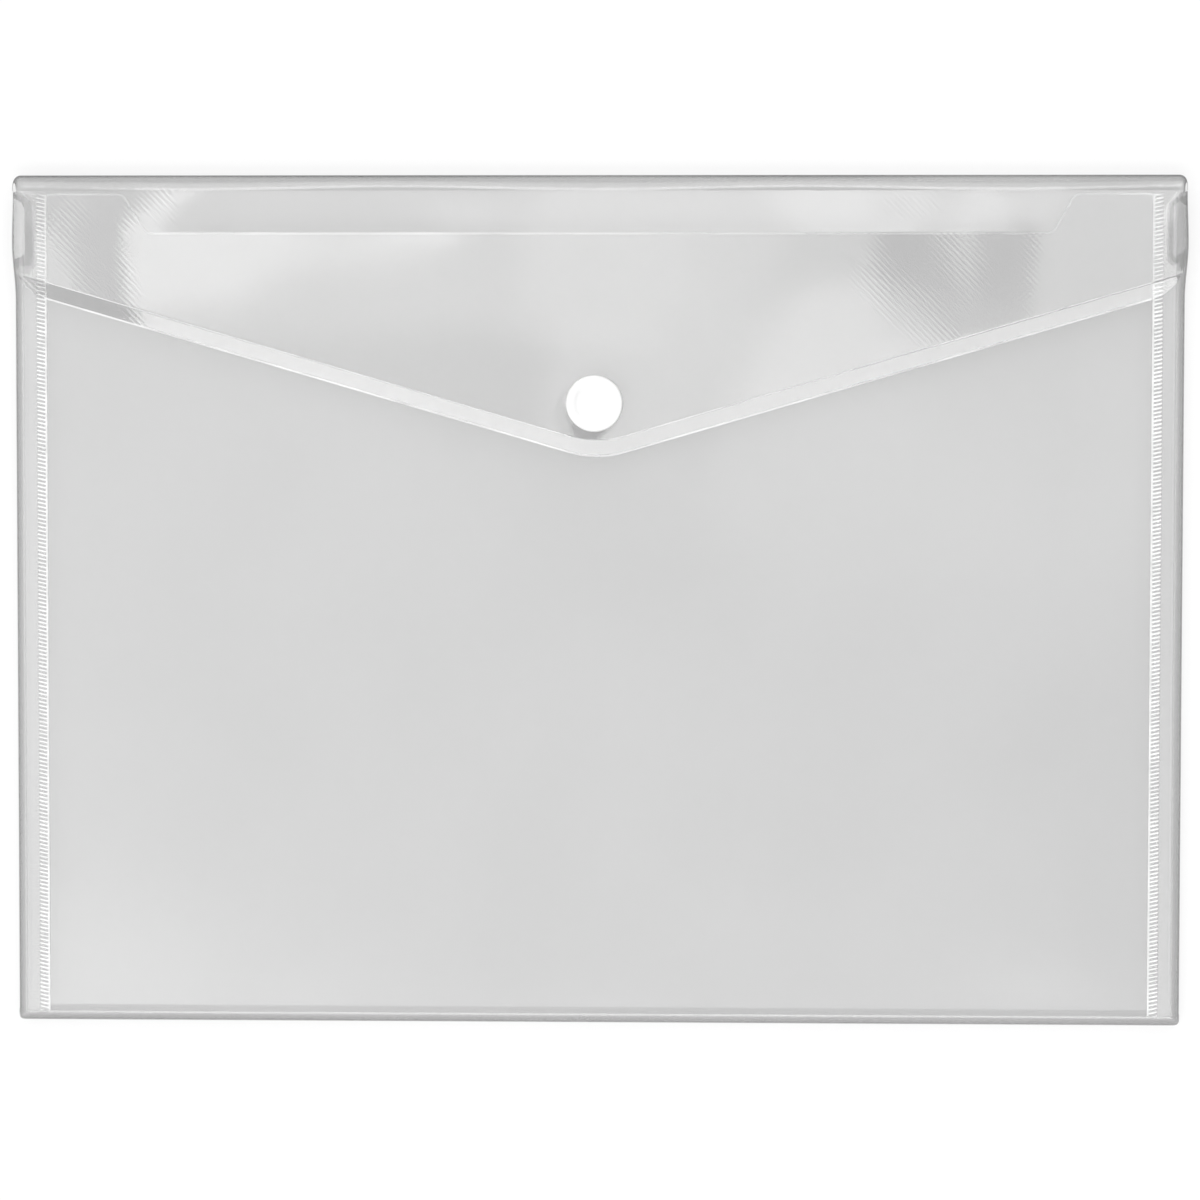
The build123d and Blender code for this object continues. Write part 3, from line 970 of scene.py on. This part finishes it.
def cap_profile(settings):
    """Radius and height of the cap: a dished top, a rounded rim, a flat underside and a headed pin."""
    radius = (CAP_HIGH.x - CAP_LOW.x) / 2
    top, seat, low = CAP_HIGH.z, FLAP_HIGH.z, CAP_LOW.z
    dish = settings.dish_diameter / 2
    bend = np.linspace(0, math.pi / 2, ARC_POINTS)
    slope = np.linspace(0, 1, ARC_POINTS)
    floor = top - settings.dish_depth
    lift = settings.dish_depth * ease(slope, 1)
    inside = np.stack([dish - DISH_SLOPE + DISH_SLOPE * slope, floor + lift], axis=-1)
    edge = settings.edge_radius
    rim = np.stack([radius - edge + edge * np.sin(bend), top - edge + edge * np.cos(bend)], axis=-1)
    pin, head = settings.pin_diameter / 2, settings.head_diameter / 2
    under = [(radius, seat), (pin, seat), (pin, low + settings.head_thickness),
             (head, low + settings.head_thickness), (head, low), (0, low)]
    return np.concatenate([[(0, floor), (INNER_RING, floor)], inside, rim, under])


# The floor, the light and the camera

def lay_floor(settings):
    """One large quad just under the film."""
    half = settings.floor_size / 2
    corners = [(-half, -half), (half, -half), (half, half), (-half, half)]
    points = [(x, y, -settings.floor_drop) for x, y in corners]
    floor = new_object("floor", points, [(0, 1, 2, 3)], [pale_floor(settings)])


# Angles from straight up between which the tent's light changes, from the foot to the side and to the top
TENT_FOOT_ANGLE, TENT_SIDE_ANGLE = math.radians(75), math.radians(60)
TENT_SHOULDER_ANGLE, TENT_TOP_ANGLE = math.radians(28), math.radians(17)
TENT_LEAN_REACH = 0.2


def light_tent(scene, settings):
    """A world that is brighter upwards and to the left, and plain white to the camera."""
    world = bpy.data.worlds.new("light_tent")
    world.use_nodes = True
    tree = world.node_tree
    tree.nodes.clear()
    direction = put(tree, "TexCoord").outputs["Generated"]
    parts = put(tree, "SeparateXYZ", i0=direction)
    height = parts.outputs["Z"]
    side = put(tree, "MapRange", Value=height, From_Min=math.cos(TENT_FOOT_ANGLE),
               From_Max=math.cos(TENT_SIDE_ANGLE), To_Min=settings.tent_foot, To_Max=settings.tent_side)
    level = put(tree, "MapRange", Value=height, From_Min=math.cos(TENT_SHOULDER_ANGLE),
                From_Max=math.cos(TENT_TOP_ANGLE), To_Min=side.outputs[0], To_Max=settings.tent_top)
    level.interpolation_type = "SMOOTHSTEP"
    lean = put(tree, "MapRange", Value=parts.outputs["X"], From_Min=-TENT_LEAN_REACH,
               From_Max=TENT_LEAN_REACH, To_Min=1 + settings.tent_lean, To_Max=1 - settings.tent_lean)
    strength = maths(tree, "MULTIPLY", level.outputs[0], lean.outputs[0])
    tent = put(tree, "Background", Color=WHITE, Strength=strength)
    white = put(tree, "Background", Color=WHITE, Strength=1.0)
    seen = put(tree, "LightPath").outputs["Is Camera Ray"]
    put(tree, "OutputWorld", Surface=mixed(tree, seen, tent, white).outputs[0])
    scene.world = world


def softbox(name, place, aim, size, power, turn=0.0):
    """A rectangular lamp at a place, facing a point and turned about that line."""
    lamp = bpy.data.lights.new(name, "AREA")
    lamp.shape = "RECTANGLE"
    lamp.size, lamp.size_y = size
    lamp.energy = power
    holder = bpy.data.objects.new(name, lamp)
    holder.location = place
    direction = Vector(aim) - Vector(place)
    facing_aim = direction.to_track_quat("-Z", "Y").to_matrix()
    holder.rotation_euler = (facing_aim @ Matrix.Rotation(turn, 3, "Z")).to_euler()
    holder.visible_camera = False
    bpy.context.scene.collection.objects.link(holder)
    return holder


# Height of the lamps that hang over the wallet, and the step from one to the next
CEILING = 1.0
CEILING_STEP = 0.004

# The boxes that the flap mirrors: name, corners in X and Y, power for a square metre, and turn in degrees
FLAP_BOXES = (
    ("flap_all", (-0.420, -0.100), (0.420, 0.300), 4.2, 0),
    ("flap_bright", (-0.274, 0.150), (-0.112, 0.205), 5.0, 20),
    ("flap_left", (-0.272, 0.095), (-0.255, 0.175), 6.5, 0),
    ("flap_wide", (-0.255, 0.118), (0.030, 0.260), 5.8, 0),
    ("flap_beyond", (0.030, 0.118), (0.134, 0.260), 4.6, 0),
    ("flap_low", (-0.245, -0.060), (-0.070, 0.118), 3.0, 0),
    ("flap_mid", (-0.070, -0.060), (0.134, 0.118), 4.2, 0),
    ("flap_centre", (-0.060, -0.060), (0.060, 0.260), 2.0, 0),
    ("flap_glow", (0.066, 0.050), (0.166, 0.140), 5.0, 0),
    ("flap_under", (0.134, -0.060), (0.200, 0.118), 4.5, 0),
    ("flap_right", (0.180, 0.040), (0.390, 0.260), 6.0, 0),
    ("flap_ear", (-0.390, 0.060), (-0.325, 0.180), 6.0, 0),
)

# The boxes that the front mirrors, in the same order
FRONT_BOXES = (
    ("front_glow", (0.040, -0.030), (0.300, 0.100), 2.2, 0),
    ("front_corner", (-0.360, -0.300), (-0.250, -0.210), 3.0, 0),
)


def hang_boxes(film, boxes):
    """Lamps that look straight down at one film alone, each a little above the last, so that they add up."""
    lit = bpy.data.collections.new(f"lit_for_{film}")
    lit.objects.link(bpy.data.objects[film])
    for layer, (name, low, high, level, degrees) in enumerate(boxes):
        middle = [(a + b) / 2 for a, b in zip(low, high)]
        size = [b - a for a, b in zip(low, high)]
        place = (*middle, CEILING + layer * CEILING_STEP)
        box = softbox(name, place, (*middle, 0), size, level * size[0] * size[1], math.radians(degrees))
        box.light_linking.receiver_collection = lit


# The lamps for the whole wallet: name, place, aim, size and power
SOFTBOXES = (
    ("border_box", (0.1, -0.545, 1.0), (0.1, -0.2, 0), (1.08, 0.38), 6.3),
    ("roll_box", (0.1, 1.25, 1.0), (0, 0.1, 0), (1.4, 1.1), 6.0),
    ("streak_box", (0.13, 1.3, 0.12), (0.07, 0.12, 0), (0.22, 0.06), 0.25),
    ("left_box", (-0.8, -0.05, 1.1), (0, 0.05, 0), (0.95, 0.35), 3.2),
    ("right_box", (0.85, 0.1, 1.1), (0, 0.05, 0), (0.35, 0.6), 1.0),
    ("key_box", (0.7, 0.9, 1.3), (0, 0.05, 0), (0.5, 0.5), 4.5),
)


def hang_softboxes():
    """Lamps for the whole wallet: one before it, two behind it, one at each end, and a key."""
    for box in SOFTBOXES:
        softbox(*box)


SENSOR_WIDTH = 36
CLIP_NEAR, CLIP_FAR = 0.05, 50


def aim_camera(scene, settings):
    """The photograph's camera: tilts about X, Y and its own axis, seen from the given distance."""
    turn = Matrix.Rotation(settings.camera_pitch, 3, "X")
    turn @= Matrix.Rotation(settings.camera_sway, 3, "Y") @ Matrix.Rotation(settings.camera_turn, 3, "Z")
    turn.transpose()
    place = turn @ Vector((-settings.camera_right, -settings.camera_up, settings.camera_distance))
    data = bpy.data.cameras.new("camera")
    data.sensor_width = SENSOR_WIDTH
    data.lens = settings.camera_lens
    data.clip_start, data.clip_end = CLIP_NEAR, CLIP_FAR
    camera = bpy.data.objects.new("camera", data)
    camera.matrix_world = Matrix.Translation(place) @ turn.to_4x4()
    scene.collection.objects.link(camera)
    scene.camera = camera


# The operators

class WALLET_OT_pocket(bpy.types.Operator):
    """Build the film of the pocket: back, front, bottom fold and the two sides"""

    bl_idname = "wallet.pocket"
    bl_label = "Pocket Film"

    def execute(self, context):
        settings = context.scene.wallet_film
        pieces = {
            "back_panel": back_film(settings),
            "front_panel": front_film(settings),
            "bottom_fold": bottom_film(settings),
        }
        for node, piece in pieces.items():
            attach(piece, "pocket")
            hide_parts(node)
        for name, side in SIDES:
            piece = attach(side_film(side, settings), "pocket")
            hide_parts(f"{name}_side_fold", f"{name}_side_tab")
        return {"FINISHED"}


class WALLET_OT_seams(bpy.types.Operator):
    """Build the two knurled weld seams"""

    bl_idname = "wallet.seams"
    bl_label = "Weld Seams"

    def execute(self, context):
        scene = context.scene
        for name, side in SIDES:
            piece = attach(weld_seam(side, scene.wallet_seam, scene.wallet_film), "pocket")
            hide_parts(f"{name}_weld_seam")
        return {"FINISHED"}


class WALLET_OT_flap(bpy.types.Operator):
    """Build the flap's film and the roll that it turns on"""

    bl_idname = "wallet.flap"
    bl_label = "Flap Film"

    def execute(self, context):
        settings = context.scene.wallet_film
        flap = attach(flap_film(settings), "flap")
        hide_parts("flap_panel")
        roll = roll_film(settings)
        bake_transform(roll)
        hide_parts("flap_roll")
        return {"FINISHED"}


class WALLET_OT_stud(bpy.types.Operator):
    """Build the press stud's cap and finish the pieces behind it"""

    bl_idname = "wallet.stud"
    bl_label = "Press Stud"

    def execute(self, context):
        settings = context.scene.wallet_stud
        plastic = stud_plastic(settings)
        cap = turned_piece("stud_cap", cap_profile(settings), CAP_CENTRE, plastic)
        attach(cap, "flap")
        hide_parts("flap_stud_cap")
        for name in ("flap_socket", "front_stud", "front_stud_backing"):
            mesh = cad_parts[name].data
            mesh.materials.clear()
            mesh.materials.append(plastic)
        return {"FINISHED"}


class WALLET_OT_stage(bpy.types.Operator):
    """Set the floor, the light tent, the lamps and the camera"""

    bl_idname = "wallet.stage"
    bl_label = "Stage"

    def execute(self, context):
        settings = context.scene.wallet_stage
        lay_floor(settings)
        light_tent(context.scene, settings)
        hang_boxes("flap_film", FLAP_BOXES)
        hang_boxes("front_film", FRONT_BOXES)
        hang_softboxes()
        aim_camera(context.scene, settings)
        context.scene.view_settings.view_transform = "Standard"
        return {"FINISHED"}


# The panel and the classes

class VIEW3D_PT_wallet(bpy.types.Panel):
    """The wallet's sizes and the buttons that build its pieces"""

    bl_idname = "VIEW3D_PT_wallet"
    bl_label = "Document Wallet"
    bl_space_type = "VIEW_3D"
    bl_region_type = "UI"
    bl_category = "Wallet"

    def draw(self, context):
        for name, operators in PANEL_ROWS:
            group = getattr(context.scene, name)
            box = self.layout.box()
            for key in group.bl_rna.properties.keys():
                if key not in {"rna_type", "name"}:
                    box.prop(group, key)
            for operator in operators:
                box.operator(operator)


PANEL_ROWS = (
    ("wallet_film", ("wallet.pocket", "wallet.flap")),
    ("wallet_seam", ("wallet.seams",)),
    ("wallet_stud", ("wallet.stud",)),
    ("wallet_stage", ("wallet.stage",)),
)
GROUPS = {
    "wallet_film": WalletFilmSettings,
    "wallet_seam": WalletSeamSettings,
    "wallet_stud": WalletStudSettings,
    "wallet_stage": WalletStageSettings,
}
CLASSES = (
    *GROUPS.values(),
    WALLET_OT_pocket,
    WALLET_OT_seams,
    WALLET_OT_flap,
    WALLET_OT_stud,
    WALLET_OT_stage,
    VIEW3D_PT_wallet,
)


def register():
    for cls in CLASSES:
        bpy.utils.register_class(cls)
    for name, group in GROUPS.items():
        setattr(bpy.types.Scene, name, bpy.props.PointerProperty(type=group))


def unregister():
    for name in GROUPS:
        delattr(bpy.types.Scene, name)
    for cls in reversed(CLASSES):
        bpy.utils.unregister_class(cls)


def main():
    register()
    bpy.ops.wallet.pocket()
    bpy.ops.wallet.seams()
    bpy.ops.wallet.flap()
    bpy.ops.wallet.stud()
    bpy.ops.wallet.stage()


if __name__ == "__main__":
    main()
